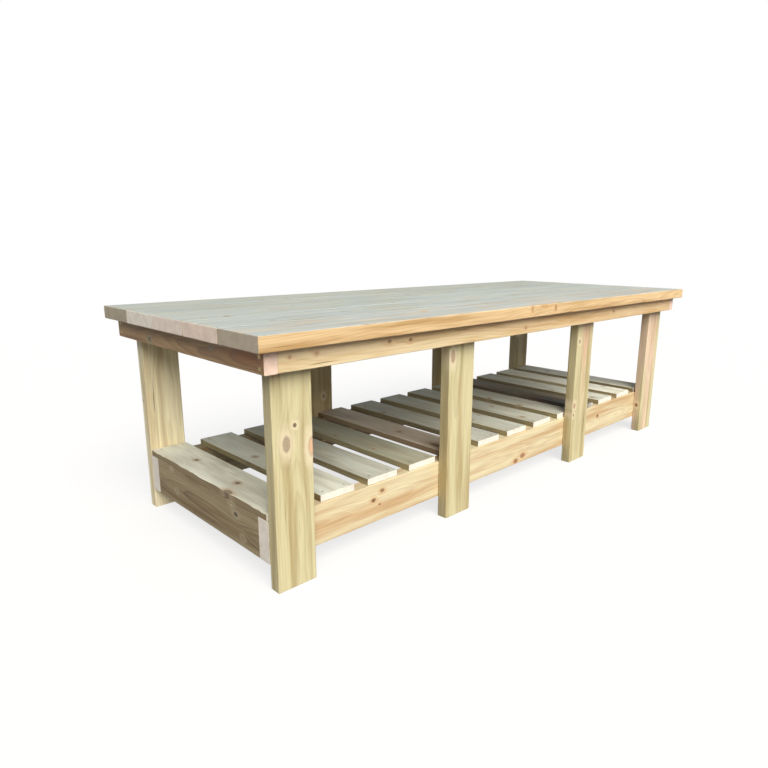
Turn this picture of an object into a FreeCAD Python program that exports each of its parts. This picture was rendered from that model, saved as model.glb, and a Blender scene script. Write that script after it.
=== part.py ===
import FreeCAD, Part
import os
import re
import Sketcher

# Potting bench in treated softwood: a five-board worktop on an apron frame, eight legs and a slatted
# lower shelf. X runs along the length, Y from the front edge to the back edge and Z up. The origin is
# on the floor under the middle of the bench. Every size is in millimetres.

SIZES = {
    # worktop
    "top_length": 2790,
    "board_width": 219,
    "board_gap": 1.25,
    "board_thickness": 48,
    "bench_height": 820,
    "top_overhang": 35,
    # apron frame under the worktop
    "apron_height": 70,
    "apron_thickness": 45,
    "bearer_thickness": 45,
    # legs
    "leg_width": 145,
    "leg_thickness": 45,
    "middle_leg_spacing": 930,
    # lower shelf
    "rail_height": 145,
    "rail_thickness": 58,
    "end_rail_thickness": 45,
    "rail_floor_gap": 81,
    "slat_width": 145,
    "slat_thickness": 24,
    "slat_setback": 8,
    # eased edges: the long arrises of thick and thin timbers, and the sawn ends
    "arris_radius": 3,
    "slat_arris_radius": 2,
    "end_ease": 0.8,
    # construction screws and the smaller slat screws
    "screw_radius": 3,
    "screw_head_radius": 6,
    "screw_head_depth": 4,
    "slat_screw_radius": 2.2,
    "slat_screw_head_radius": 4,
    "slat_screw_head_depth": 2.6,
    "screw_tip": 8,
    # how far a screw bites into the timber that it holds
    "board_bite": 30,
    "frame_bite": 32,
    "end_grain_bite": 50,
    "slat_bite": 26,
    # how the screws are set out
    "board_screw_spacing": 130,
    "bearer_end_margin": 40,
    "board_edge_margin": 30,
    "apron_screw_spacing": 34,
    "leg_apron_screw_spacing": 90,
    "leg_rail_screw_spacing": 50,
    "rail_screw_rise": 70,
    "slat_screw_spacing": 90,
}
TOP_BOARDS = 5
SLATS = 13

# Shared places, as formulas over the sizes. Distances along X and Y are from the middle of the bench.
BOARD_PITCH = "(board_width + board_gap)"
HALF_DEPTH = f"(({TOP_BOARDS} * board_width + {TOP_BOARDS - 1} * board_gap) / 2)"
UNDERSIDE = "(bench_height - board_thickness)"
APRON_BOTTOM = f"({UNDERSIDE} - apron_height)"
APRON_MIDDLE = f"({UNDERSIDE} - apron_height / 2)"
APRON_END = "(top_length / 2 - top_overhang)"
APRON_FACE = f"({HALF_DEPTH} - top_overhang)"
LEG_END = f"({APRON_END} - apron_thickness)"
LEG_FACE = f"({APRON_FACE} - apron_thickness)"
MIDDLE_LEG = "(middle_leg_spacing / 2)"
BEARER_FACE = f"({MIDDLE_LEG} - leg_width / 2 - bearer_thickness)"
RAIL_FACE = f"({LEG_FACE} - leg_thickness)"
RAIL_TOP = "(rail_floor_gap + rail_height)"
SLAT_TOP = f"({RAIL_TOP} + slat_thickness)"
SLAT_PITCH = f"((2 * {LEG_END} - slat_width) / {SLATS - 1})"

# The unit vector of each direction a timber can run in, and how parallel an edge must be to run with it.
DIRECTIONS = {"X": FreeCAD.Vector(1, 0, 0), "Y": FreeCAD.Vector(0, 1, 0), "Z": FreeCAD.Vector(0, 0, 1)}
PARALLEL = 0.99

# For each direction a timber can run in: the plane of its section, and whether the pad is reversed to
# run towards the positive end of that direction.
SECTION_PLANES = {"X": ("YZ_Plane", False), "Y": ("XZ_Plane", True), "Z": ("XY_Plane", False)}

# For each direction a screw can be driven in: the plane of its half profile, and the turn in that
# plane that points the profile's own vertical axis along the screw.
SCREW_PLANES = {"+X": ("XY_Plane", -90), "-X": ("XY_Plane", 90), "+Y": ("XY_Plane", 0),
                "-Y": ("XY_Plane", 180), "+Z": ("XZ_Plane", 0), "-Z": ("XZ_Plane", 180)}

# Sizes that the sketches are first drawn with, before the formulas take over.
DRAWN_WIDTH = 100
DRAWN_DEPTH = 50
DRAWN_HEAD_RADIUS = 6
DRAWN_SHANK_RADIUS = 3
DRAWN_HEAD_DEPTH = 4
DRAWN_SHANK_END = 50
DRAWN_TIP = 60

doc = FreeCAD.newDocument("PottingBench")
sheet = doc.addObject("Spreadsheet::Sheet", "Sizes")
for row, (alias, value) in enumerate(SIZES.items(), start=1):
    sheet.set(f"A{row}", alias)
    sheet.set(f"B{row}", str(value))
    sheet.setAlias(f"B{row}", alias)
doc.recompute()


def bind(item, field, formula):
    """Bind a field to a formula, with every size name in it pointed at its cell in the sheet."""
    item.setExpression(field, re.sub(r"[a-z_]+", r"Sizes.\g<0>", formula))


def origin_feature(body, role):
    """Find one of a body's own origin planes or axes."""
    return next(feature for feature in body.Origin.OriginFeatures if feature.Role == role)


def add_sketch(body, name, plane):
    """Add an empty sketch on one of the body's origin planes."""
    sketch = body.newObject("Sketcher::SketchObject", name)
    sketch.AttachmentSupport = [(origin_feature(body, plane), "")]
    sketch.MapMode = "FlatFace"
    return sketch


def add_outline(sketch, points):
    """Draw a closed outline of straight lines whose first point is the sketch's origin."""
    corners = [FreeCAD.Vector(x, y, 0) for x, y in points]
    for start, end in zip(corners, corners[1:] + corners[:1]):
        sketch.addGeometry(Part.LineSegment(start, end), False)
    for line in range(len(corners)):
        following = (line + 1) % len(corners)
        sketch.addConstraint(Sketcher.Constraint("Coincident", line, 2, following, 1))
    sketch.addConstraint(Sketcher.Constraint("Coincident", 0, 1, -1, 1))


def add_distance(sketch, kind, line, formula, sample):
    """Hold the start of a line at a distance from the sketch's origin, bound to a formula."""
    number = sketch.addConstraint(Sketcher.Constraint(kind, -1, 1, line, 1, sample))
    bind(sketch, f"Constraints[{number}]", formula)


def add_timber(name, along, corner, length, across, upright, arris="arris_radius"):
    """Make a straight planed timber: its section, its length, its eased arrises and its eased ends.

    The corner is its low corner. Across and upright are the sizes of its section, in X, Y, Z order.
    """
    body = doc.addObject("PartDesign::Body", f"{name}_timber")
    plane, is_reversed = SECTION_PLANES[along]
    section = add_sketch(body, f"{name}_section", plane)
    add_outline(section, [(0, 0), (DRAWN_WIDTH, 0), (DRAWN_WIDTH, DRAWN_DEPTH), (0, DRAWN_DEPTH)])
    for line, kind in enumerate(("Horizontal", "Vertical", "Horizontal", "Vertical")):
        section.addConstraint(Sketcher.Constraint(kind, line))
    add_distance(section, "DistanceX", 2, across, DRAWN_WIDTH)
    add_distance(section, "DistanceY", 2, upright, DRAWN_DEPTH)
    pad = body.newObject("PartDesign::Pad", f"{name}_pad")
    pad.Profile = section
    pad.Reversed = is_reversed
    bind(pad, "Length", length)
    for axis, formula in zip("xyz", corner):
        bind(body, f"Placement.Base.{axis}", formula)
    doc.recompute()
    fillet = body.newObject("PartDesign::Fillet", f"{name}_arrises")
    fillet.Base = (pad, edge_names(pad, along, True))
    bind(fillet, "Radius", arris)
    doc.recompute()
    chamfer = body.newObject("PartDesign::Chamfer", f"{name}_ends")
    chamfer.Base = (fillet, edge_names(fillet, along, False))
    bind(chamfer, "Size", "end_ease")
    doc.recompute()
    return body


def edge_names(feature, along, is_parallel):
    """Name the edges of a timber that run along it, or the ones that run round its ends."""
    names = []
    for number, edge in enumerate(feature.Shape.Edges, start=1):
        runs_along = abs(edge.tangentAt(edge.FirstParameter).dot(DIRECTIONS[along])) > PARALLEL
        if runs_along == is_parallel:
            names.append(f"Edge{number}")
    return names


def add_screw(body, name, drive, place, length, kind=""):
    """Revolve one countersunk screw, with its head's face at the place and driven along the drive."""
    plane, turn = SCREW_PLANES[drive]
    profile = add_sketch(body, f"{name}_profile", plane)
    x, y, z = place
    offsets = {"XY_Plane": (x, y, z), "XZ_Plane": (x, z, f"-({y})")}[plane]
    turned = FreeCAD.Rotation(DIRECTIONS["Z"], turn)
    profile.AttachmentOffset = FreeCAD.Placement(FreeCAD.Vector(), turned)
    for axis, formula in zip("xyz", offsets):
        bind(profile, f"AttachmentOffset.Base.{axis}", formula)
    head_edge = (DRAWN_HEAD_RADIUS, 0)
    head_base = (DRAWN_SHANK_RADIUS, DRAWN_HEAD_DEPTH)
    shank_end = (DRAWN_SHANK_RADIUS, DRAWN_SHANK_END)
    add_outline(profile, [(0, 0), head_edge, head_base, shank_end, (0, DRAWN_TIP)])
    profile.addConstraint(Sketcher.Constraint("Horizontal", 0))
    profile.addConstraint(Sketcher.Constraint("Vertical", 2))
    profile.addConstraint(Sketcher.Constraint("Vertical", 4))
    add_distance(profile, "DistanceX", 1, f"{kind}screw_head_radius", DRAWN_HEAD_RADIUS)
    add_distance(profile, "DistanceX", 2, f"{kind}screw_radius", DRAWN_SHANK_RADIUS)
    add_distance(profile, "DistanceY", 2, f"{kind}screw_head_depth", DRAWN_HEAD_DEPTH)
    add_distance(profile, "DistanceY", 3, f"{length} - screw_tip", DRAWN_SHANK_END)
    add_distance(profile, "DistanceY", 4, length, DRAWN_TIP)
    screw = body.newObject("PartDesign::Revolution", name)
    screw.Profile = profile
    screw.ReferenceAxis = (profile, ["V_Axis"])
    screw.Angle = 360
    doc.recompute()
    return screw


def repeat_screws(body, name, screws, rows, mirrors):
    """Repeat screws in straight rows, each an axis, a length and a number, and mirror the result."""
    repeat = body.newObject("PartDesign::MultiTransform", name)
    repeat.Originals = screws
    steps = []
    for number, (axis, length, count) in enumerate(rows, start=1):
        line = body.newObject("PartDesign::LinearPattern", f"{name}_row_{number}")
        line.Direction = (origin_feature(body, f"{axis}_Axis"), [""])
        line.Occurrences = count
        bind(line, "Length", length)
        steps.append(line)
    for plane in mirrors:
        mirror = body.newObject("PartDesign::Mirrored", f"{name}_{plane}")
        mirror.MirrorPlane = (origin_feature(body, plane), [""])
        steps.append(mirror)
    repeat.Transformations = steps
    body.Tip = repeat
    doc.recompute()
    return repeat


# The screws. Each group is drawn at the bench's front left and mirrored to the other three quarters.
BOTH_WAYS = ("XZ_Plane", "YZ_Plane")


def screw_group(name):
    """Start a named group of separate screws."""
    body = doc.addObject("PartDesign::Body", name)
    body.AllowCompound = True
    return body


top_screws = screw_group("top_screws")
TOP_SCREW_LENGTH = "(apron_height + board_bite)"
inner_top_screws = []
outer_top_screws = []
for support, place_x in (("apron", f"-({APRON_END} - apron_thickness / 2)"),
                         ("bearer", f"-({BEARER_FACE} + bearer_thickness / 2)")):
    inner_place = (place_x, f"-({BOARD_PITCH} + board_screw_spacing / 2)", APRON_BOTTOM)
    inner_screw = add_screw(top_screws, f"{support}_inner_screw", "+Z", inner_place, TOP_SCREW_LENGTH)
    inner_top_screws.append(inner_screw)
    for side, place_y in (("outside", f"-({LEG_FACE} - bearer_end_margin)"),
                          ("inside", f"-(2 * {BOARD_PITCH} - board_width / 2 + board_edge_margin)")):
        outer_place = (place_x, place_y, APRON_BOTTOM)
        outer_screw = add_screw(top_screws, f"{support}_{side}_screw", "+Z", outer_place, TOP_SCREW_LENGTH)
        outer_top_screws.append(outer_screw)
repeat_screws(top_screws, "inner_boards", inner_top_screws,
              [("Y", f"2 * {BOARD_PITCH}", TOP_BOARDS - 2), ("Y", "board_screw_spacing", 2)], ["YZ_Plane"])
repeat_screws(top_screws, "outer_boards", outer_top_screws, [], BOTH_WAYS)

LOWER_APRON_SCREW = f"{APRON_MIDDLE} - apron_screw_spacing / 2"
apron_corner_screws = screw_group("apron_corner_screws")
corner_screw = add_screw(
    apron_corner_screws, "corner_screw", "+X",
    (f"-{APRON_END}", f"-({APRON_FACE} - apron_thickness / 2)", LOWER_APRON_SCREW),
    "(apron_thickness + end_grain_bite)")
repeat_screws(apron_corner_screws, "corners", [corner_screw], [("Z", "apron_screw_spacing", 2)], BOTH_WAYS)

bearer_screws = screw_group("bearer_screws")
bearer_screw = add_screw(
    bearer_screws, "bearer_screw", "-X",
    (f"-{BEARER_FACE}", f"-({LEG_FACE} - leg_thickness / 2)", LOWER_APRON_SCREW),
    "(bearer_thickness + end_grain_bite)")
repeat_screws(bearer_screws, "bearer_ends", [bearer_screw], [("Z", "apron_screw_spacing", 2)], BOTH_WAYS)

leg_apron_screws = screw_group("leg_apron_screws")
leg_head_screws = []
for leg, place_x in (("end", f"-({LEG_END} - leg_width / 2)"), ("middle", f"-{MIDDLE_LEG}")):
    place = (f"{place_x} - leg_apron_screw_spacing / 2", f"-{RAIL_FACE}", APRON_MIDDLE)
    leg_head_screws.append(
        add_screw(leg_apron_screws, f"{leg}_leg_screw", "-Y", place, "(leg_thickness + frame_bite)"))
repeat_screws(leg_apron_screws, "leg_heads", leg_head_screws,
              [("X", "leg_apron_screw_spacing", 2)], BOTH_WAYS)

LOWER_RAIL_SCREW = "rail_floor_gap + (rail_height - rail_screw_rise) / 2"
leg_rail_screws = screw_group("leg_rail_screws")
leg_foot_screws = []
for leg, place_x in (("end", f"-({LEG_END} - (end_rail_thickness + leg_width) / 2)"),
                     ("middle", f"-{MIDDLE_LEG}")):
    place = (f"{place_x} - leg_rail_screw_spacing / 2",
             f"-({RAIL_FACE} - rail_thickness)", LOWER_RAIL_SCREW)
    leg_foot_screws.append(
        add_screw(leg_rail_screws, f"{leg}_rail_screw", "-Y", place, "(rail_thickness + frame_bite)"))
repeat_screws(leg_rail_screws, "rail_joints", leg_foot_screws,
              [("X", "leg_rail_screw_spacing", 2), ("Z", "rail_screw_rise", 2)], BOTH_WAYS)

rail_corner_screws = screw_group("rail_corner_screws")
rail_corner_screw = add_screw(
    rail_corner_screws, "rail_corner_screw", "+Y",
    (f"-({LEG_END} - end_rail_thickness / 2)", f"-{RAIL_FACE}", LOWER_RAIL_SCREW),
    "(rail_thickness + end_grain_bite)")
repeat_screws(rail_corner_screws, "rail_corners", [rail_corner_screw],
              [("Z", "rail_screw_rise", 2)], BOTH_WAYS)

slat_screws = screw_group("slat_screws")
slat_screw = add_screw(
    slat_screws, "slat_screw", "-Z",
    (f"-({LEG_END} - slat_width / 2) - slat_screw_spacing / 2",
     f"-({RAIL_FACE} - (rail_thickness + slat_setback) / 2)", SLAT_TOP),
    "(slat_thickness + slat_bite)", "slat_")
repeat_screws(slat_screws, "slat_ends", [slat_screw],
              [("X", f"2 * {LEG_END} - slat_width", SLATS), ("X", "slat_screw_spacing", 2)], ["XZ_Plane"])


nodes = [top_screws, apron_corner_screws, bearer_screws, leg_apron_screws, leg_rail_screws,
         rail_corner_screws, slat_screws]


def fit_screws(timber, name, *groups):
    """Cut the screws' own shape out of a timber, so that their threads are held in solid wood."""
    held = doc.addObject("Part::Compound", f"{name}_screws")
    held.Links = list(groups)
    node = doc.addObject("Part::Cut", name)
    node.Base = timber
    node.Tool = held
    nodes.append(node)


# Worktop boards, laid along the length from the front edge to the back edge.
for number in range(TOP_BOARDS):
    name = f"top_board_{number + 1}"
    corner = ("-top_length / 2", f"{number} * {BOARD_PITCH} - {HALF_DEPTH}", UNDERSIDE)
    board = add_timber(name, "X", corner, "top_length", "board_width", "board_thickness")
    fit_screws(board, name, top_screws)

# Long aprons between the end aprons, and end aprons over their ends.
for side, low_y in (("front", f"-{APRON_FACE}"), ("back", LEG_FACE)):
    name = f"apron_{side}"
    corner = (f"-{LEG_END}", low_y, APRON_BOTTOM)
    apron = add_timber(name, "X", corner, f"2 * {LEG_END}", "apron_thickness", "apron_height")
    fit_screws(apron, name, apron_corner_screws, leg_apron_screws)
for side, low_x in (("left", f"-{APRON_END}"), ("right", LEG_END)):
    name = f"apron_{side}"
    corner = (low_x, f"-{APRON_FACE}", APRON_BOTTOM)
    apron = add_timber(name, "Y", corner, f"2 * {APRON_FACE}", "apron_thickness", "apron_height")
    fit_screws(apron, name, apron_corner_screws, top_screws)

# Cross bearers against the inner edges of the middle legs.
for side, low_x in (("left", f"-({BEARER_FACE} + bearer_thickness)"), ("right", BEARER_FACE)):
    name = f"bearer_{side}"
    corner = (low_x, f"-{LEG_FACE}", APRON_BOTTOM)
    bearer = add_timber(name, "Y", corner, f"2 * {LEG_FACE}", "bearer_thickness", "apron_height")
    fit_screws(bearer, name, bearer_screws, top_screws)

# Legs, numbered from the left end, with their wide faces to the front and back.
leg_places = (f"-{LEG_END}", f"-{MIDDLE_LEG} - leg_width / 2", f"{MIDDLE_LEG} - leg_width / 2",
              f"{LEG_END} - leg_width")
for side, low_y in (("front", f"-{LEG_FACE}"), ("back", RAIL_FACE)):
    for number, low_x in enumerate(leg_places, start=1):
        name = f"leg_{side}_{number}"
        leg = add_timber(name, "Z", (low_x, low_y, "0"), UNDERSIDE, "leg_width", "leg_thickness")
        fit_screws(leg, name, leg_apron_screws, leg_rail_screws, bearer_screws)

# Lower shelf: long rails on the legs' inner faces, end rails between them, and slats across the top.
for side, low_y in (("front", f"-{RAIL_FACE}"), ("back", f"{RAIL_FACE} - rail_thickness")):
    name = f"shelf_rail_{side}"
    corner = (f"-{LEG_END}", low_y, "rail_floor_gap")
    rail = add_timber(name, "X", corner, f"2 * {LEG_END}", "rail_thickness", "rail_height")
    fit_screws(rail, name, leg_rail_screws, rail_corner_screws, slat_screws)
for side, low_x in (("left", f"-{LEG_END}"), ("right", f"{LEG_END} - end_rail_thickness")):
    name = f"shelf_rail_{side}"
    corner = (low_x, f"-({RAIL_FACE} - rail_thickness)", "rail_floor_gap")
    rail = add_timber(name, "Y", corner, f"2 * ({RAIL_FACE} - rail_thickness)",
                      "end_rail_thickness", "rail_height")
    fit_screws(rail, name, rail_corner_screws)
for number in range(SLATS):
    name = f"shelf_slat_{number + 1:02d}"
    corner = (f"{number} * {SLAT_PITCH} - {LEG_END}", f"-({RAIL_FACE} - slat_setback)", RAIL_TOP)
    slat = add_timber(name, "Y", corner, f"2 * ({RAIL_FACE} - slat_setback)",
                      "slat_width", "slat_thickness", "slat_arris_radius")
    fit_screws(slat, name, slat_screws)

doc.recompute()
for item in doc.Objects:
    if "Invalid" in item.State or "Error" in item.State:
        raise RuntimeError(f"{item.Label} failed: {item.State}")
for node in nodes:
    if node.Shape.isNull() or not node.Shape.isValid():
        raise RuntimeError(f"{node.Label} has no valid shape")

os.makedirs("parts", exist_ok=True)
for node in nodes:
    node.Shape.exportStep(f"parts/{node.Label}.step")
    print(node.Label, len(node.Shape.Solids), "solids", round(node.Shape.Volume / 1000), "cm3")
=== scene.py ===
import math
import random

import bmesh
import bpy
from mathutils import Matrix, Vector


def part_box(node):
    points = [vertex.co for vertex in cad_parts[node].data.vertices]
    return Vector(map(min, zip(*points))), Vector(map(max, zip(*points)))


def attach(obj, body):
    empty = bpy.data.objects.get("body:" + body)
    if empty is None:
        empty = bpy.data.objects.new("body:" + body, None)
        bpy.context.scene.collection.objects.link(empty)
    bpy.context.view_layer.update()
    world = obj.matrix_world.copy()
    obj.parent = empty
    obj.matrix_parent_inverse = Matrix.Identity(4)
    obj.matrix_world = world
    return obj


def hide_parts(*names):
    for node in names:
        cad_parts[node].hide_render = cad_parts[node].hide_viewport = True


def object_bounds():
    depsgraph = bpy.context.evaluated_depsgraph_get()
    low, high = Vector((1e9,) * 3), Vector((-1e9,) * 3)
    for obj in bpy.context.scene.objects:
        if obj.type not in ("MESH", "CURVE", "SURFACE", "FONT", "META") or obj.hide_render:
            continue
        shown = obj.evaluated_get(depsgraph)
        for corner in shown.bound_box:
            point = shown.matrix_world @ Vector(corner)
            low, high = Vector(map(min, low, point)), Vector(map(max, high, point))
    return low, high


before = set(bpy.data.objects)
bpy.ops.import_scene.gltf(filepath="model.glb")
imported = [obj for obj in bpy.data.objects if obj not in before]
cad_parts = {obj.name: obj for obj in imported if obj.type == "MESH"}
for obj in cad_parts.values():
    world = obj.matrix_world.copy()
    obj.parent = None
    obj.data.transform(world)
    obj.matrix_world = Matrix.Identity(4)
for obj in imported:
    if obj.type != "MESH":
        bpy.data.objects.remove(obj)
cadLow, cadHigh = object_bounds()
millimetre = 0.001

# node settings that are used many times
smoothly = {"interpolation_type": "SMOOTHSTEP"}
colourMix = {"data_type": "RGBA"}
colourMultiply = {"data_type": "RGBA", "blend_type": "MULTIPLY"}


def linearColour(code):
    # sRGB hex to the linear colour that the shaders want
    parts = [int(code[i:i + 2], 16) / 255 for i in (1, 3, 5)]
    linear = [p / 12.92 if p <= 0.04045 else ((p + 0.055) / 1.055) ** 2.4 for p in parts]
    return (*linear, 1.0)


def addNode(tree, kind, settings=None, feeds=None):
    # kind: Blender's name for the node, where a leading ShaderNode may be left out
    # settings: a dictionary, or just the name of the operation on a maths node
    # feeds: the inputs in order, or by name; each is a value, a socket, or a node whose first
    # live output is linked
    node = tree.nodes.new(kind if "Node" in kind else "ShaderNode" + kind)
    if isinstance(settings, str):
        settings = {"operation": settings}
    for name, value in (settings or {}).items():
        setattr(node, name, value)
    if isinstance(feeds, list):
        feeds = dict(enumerate(feeds))
    for key, value in (feeds or {}).items():
        if isinstance(key, str):
            socket = next(s for s in node.inputs if s.enabled and s.name == key)
        else:
            socket = node.inputs[key]
        if isinstance(value, bpy.types.Node):
            value = next(s for s in value.outputs if s.enabled)
        if isinstance(value, bpy.types.NodeSocket):
            tree.links.new(value, socket)
        else:
            socket.default_value = value
    return node


def addObject(name, data):
    thing = bpy.data.objects.new(name, data)
    bpy.context.scene.collection.objects.link(thing)
    return thing


def addPiece(name, mesh, node):
    # a finished piece, which stands for one CAD node of the fixed bench
    piece = addObject(name, mesh)
    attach(piece, "root")
    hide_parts(node)


def emptyTree(owner):
    owner.use_nodes = True
    owner.node_tree.nodes.clear()
    return owner.node_tree


def addSockets(tree, inputs, outputs):
    # each is the names for every kind of socket
    for direction, sockets in (("INPUT", inputs), ("OUTPUT", outputs)):
        for kind, names in sockets.items():
            for name in names.split(", "):
                tree.interface.new_socket(name, in_out=direction, socket_type="NodeSocket" + kind)


# where a knot's parts start and end, in its own radii from its middle, and how strong they are
knotMake = {
    "raggedCells": 70.0, "raggedLow": 0.82, "raggedSpan": 0.36,  # cells a metre; radius factors
    "core": {"From Min": 1.12, "From Max": 0.66}, "halo": {"From Min": 3.3, "From Max": 0.9},
    "rimOutside": {"From Min": 1.3, "From Max": 0.98},
    "rimInside": {"From Min": 0.62, "From Max": 0.9},
    "dyingOut": {"From Min": 0.5, "From Max": 1.0, "To Max": 8.0},  # shares of its depth
    "ringTurns": 19.0, "ringDepth": 0.11,  # radians a radius; share of the colour
    "swellFade": -0.16, "swellPull": -0.75}  # how soon the grain closes again, how far it parts


def buildKnotAndShadowGroup():
    # a branch that runs through the timber: a dark core with a bark rim, a stained halo,
    # and grain that swells around it; the same group draws the painted shadow patches on two slats
    tree = bpy.data.node_groups.new("branchKnotAndShadowPatch", "ShaderNodeTree")
    # each knot hands Bent, Core, Rim, Halo and Tint to the next one, and the last to the wood
    addSockets(
        tree,
        {"Vector": "Bent, Point, Place, Branch",
         "Float": "Core, Rim, Halo, Depth, Radius, Stretch, Darkness", "Color": "Tint, Colour"},
        {"Vector": "Bent", "Float": "Core, Rim, Halo", "Color": "Tint"})
    given = addNode(tree, "NodeGroupInput").outputs
    away = addNode(tree, "VectorMath", "SUBTRACT", [given["Point"], given["Place"]])
    along = addNode(tree, "VectorMath", "DOT_PRODUCT", [away, given["Branch"]])
    shaft = addNode(tree, "VectorMath", "SCALE", {
        0: given["Branch"], "Scale": along.outputs["Value"]})
    side = addNode(tree, "VectorMath", "SUBTRACT", [away, shaft])
    # knots are cut longer along the board than across it
    squeeze = addNode(tree, "Math", "DIVIDE", [1.0, given["Stretch"]])
    squeezeVector = addNode(tree, "CombineXYZ", {}, {"X": squeeze, "Y": 1.0, "Z": 1.0})
    oval = addNode(tree, "VectorMath", "MULTIPLY", [side, squeezeVector])
    reach = addNode(tree, "VectorMath", "LENGTH", [oval])
    ragged = addNode(tree, "TexNoise", {}, {
        "Vector": given["Point"], "Scale": knotMake["raggedCells"], "Detail": 2.0})
    raggedReach = addNode(tree, "Math", "MULTIPLY_ADD", [
        ragged, knotMake["raggedSpan"], knotMake["raggedLow"]])
    reachNow = addNode(tree, "Math", "MULTIPLY", [reach.outputs["Value"], raggedReach])
    flush = addNode(tree, "Math", "DIVIDE", [reachNow, given["Radius"]])
    # a spike knot dies out inside the timber, past its depth
    travelled = addNode(tree, "Math", "ABSOLUTE", [along.outputs["Value"]])
    buried = addNode(tree, "Math", "DIVIDE", [travelled, given["Depth"]])
    gone = addNode(tree, "MapRange", smoothly, {"Value": buried, **knotMake["dyingOut"]})
    ratio = addNode(tree, "Math", "ADD", [flush, gone])
    core, rimOutside, rimInside, halo = [
        addNode(tree, "MapRange", smoothly, {"Value": ratio, **knotMake[part]})
        for part in ("core", "rimOutside", "rimInside", "halo")]
    coreDark = addNode(tree, "Math", "MULTIPLY", [core, given["Darkness"]])
    rim = addNode(tree, "Math", "MULTIPLY", [rimOutside, rimInside])
    rimDark = addNode(tree, "Math", "MULTIPLY", [rim, given["Darkness"]])
    ringAngle = addNode(tree, "Math", "MULTIPLY", [ratio, knotMake["ringTurns"]])
    ringWave = addNode(tree, "Math", "SINE", [ringAngle])
    ringShare = addNode(tree, "Math", "MULTIPLY_ADD", [
        ringWave, knotMake["ringDepth"], 1 - knotMake["ringDepth"]])
    coreRinged = addNode(tree, "Math", "MULTIPLY", [coreDark, ringShare])
    square = addNode(tree, "Math", "POWER", [ratio, 2.0])
    fade = addNode(tree, "Math", "MULTIPLY", [square, knotMake["swellFade"]])
    swell = addNode(tree, "Math", "EXPONENT", [fade])
    pull = addNode(tree, "Math", "MULTIPLY", [swell, knotMake["swellPull"]])
    shift = addNode(tree, "VectorMath", "SCALE", {0: side, "Scale": pull})
    across = addNode(tree, "VectorMath", "MULTIPLY", [shift, (0.0, 1.0, 1.0)])
    bent = addNode(tree, "VectorMath", "ADD", [given["Bent"], across])
    tint = addNode(tree, "Mix", colourMix, {
        "Factor": rimOutside, "A": given["Tint"], "B": given["Colour"]})
    # knots are chained, and the strongest one shows
    strongest = {
        name: addNode(tree, "Math", "MAXIMUM", {0: given[name], 1: own})
        for name, own in (("Core", coreRinged), ("Rim", rimDark), ("Halo", halo))}
    addNode(tree, "NodeGroupOutput", {}, {"Bent": bent, "Tint": tint, **strongest})
    return tree


woodMake = {
    # noise cells a metre along, across and through the timber, then detail and roughness;
    # fibres are under 0.1 mm wide, too fine to see, so they are drawn as 2 mm bundles
    "trunkCells": ((2.1, 5, 5), 2, 0.5), "ringCells": ((3.5, 55, 55), 2, 0.5),
    "streakCells": ((1.5, 26, 26), 3, 0.6), "fibreCells": ((9, 480, 480), 3, 0.5),
    "patchCells": ((4, 18, 18), 4, 0.5), "checkCells": ((3.2, 170, 170), 1, 0.5),
    "trunkSway": (0.0, 0.030, 0.030), "ringSway": 0.7, "heartSway": 0.05,  # metres, rings, metres
    # shares of one ring over which its late wood darkens and stops, and how much the rings differ
    "lateRise": {"From Min": 0.25, "From Max": 0.86},
    "lateFall": {"From Min": 1.0, "From Max": 0.9},
    "ringWeight": {"To Min": 0.35, "To Max": 1.0},
    "streak": {"From Min": 0.42, "From Max": 0.68},
    "heartEdge": {"From Min": 0.034, "From Max": 0.016},  # metres
    "patch": {"From Min": 0.32, "From Max": 0.6, "To Min": 0.6},
    "skyward": {"From Min": 0.5, "From Max": 0.88},
    "sawnEnd": {"From Min": 0.6, "From Max": 0.95, "To Max": 0.93},
    "uneven": {"From Min": 0.32, "From Max": 0.68, "To Min": 1.06, "To Max": 0.90},
    "check": {"From Min": 0.745, "From Max": 0.80},
    "fibreShade": {"From Min": 0.3, "From Max": 0.7, "To Min": 0.90, "To Max": 1.06},
    "roughness": {"To Min": 0.74, "To Max": 0.55},
    "lateShade": -0.07, "haloShare": 0.72, "greyShare": 0.45, "barkShare": 0.42,
    "checkColour": "#a8977a", "greyKnot": "#77736a", "bark": "#5b3a22",
    "lateHeight": 0.12, "fibreHeight": 0.16, "barkHeight": -0.25, "checkHeight": -0.5,  # mm
    "bump": 0.8, "ior": 1.5}


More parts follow.
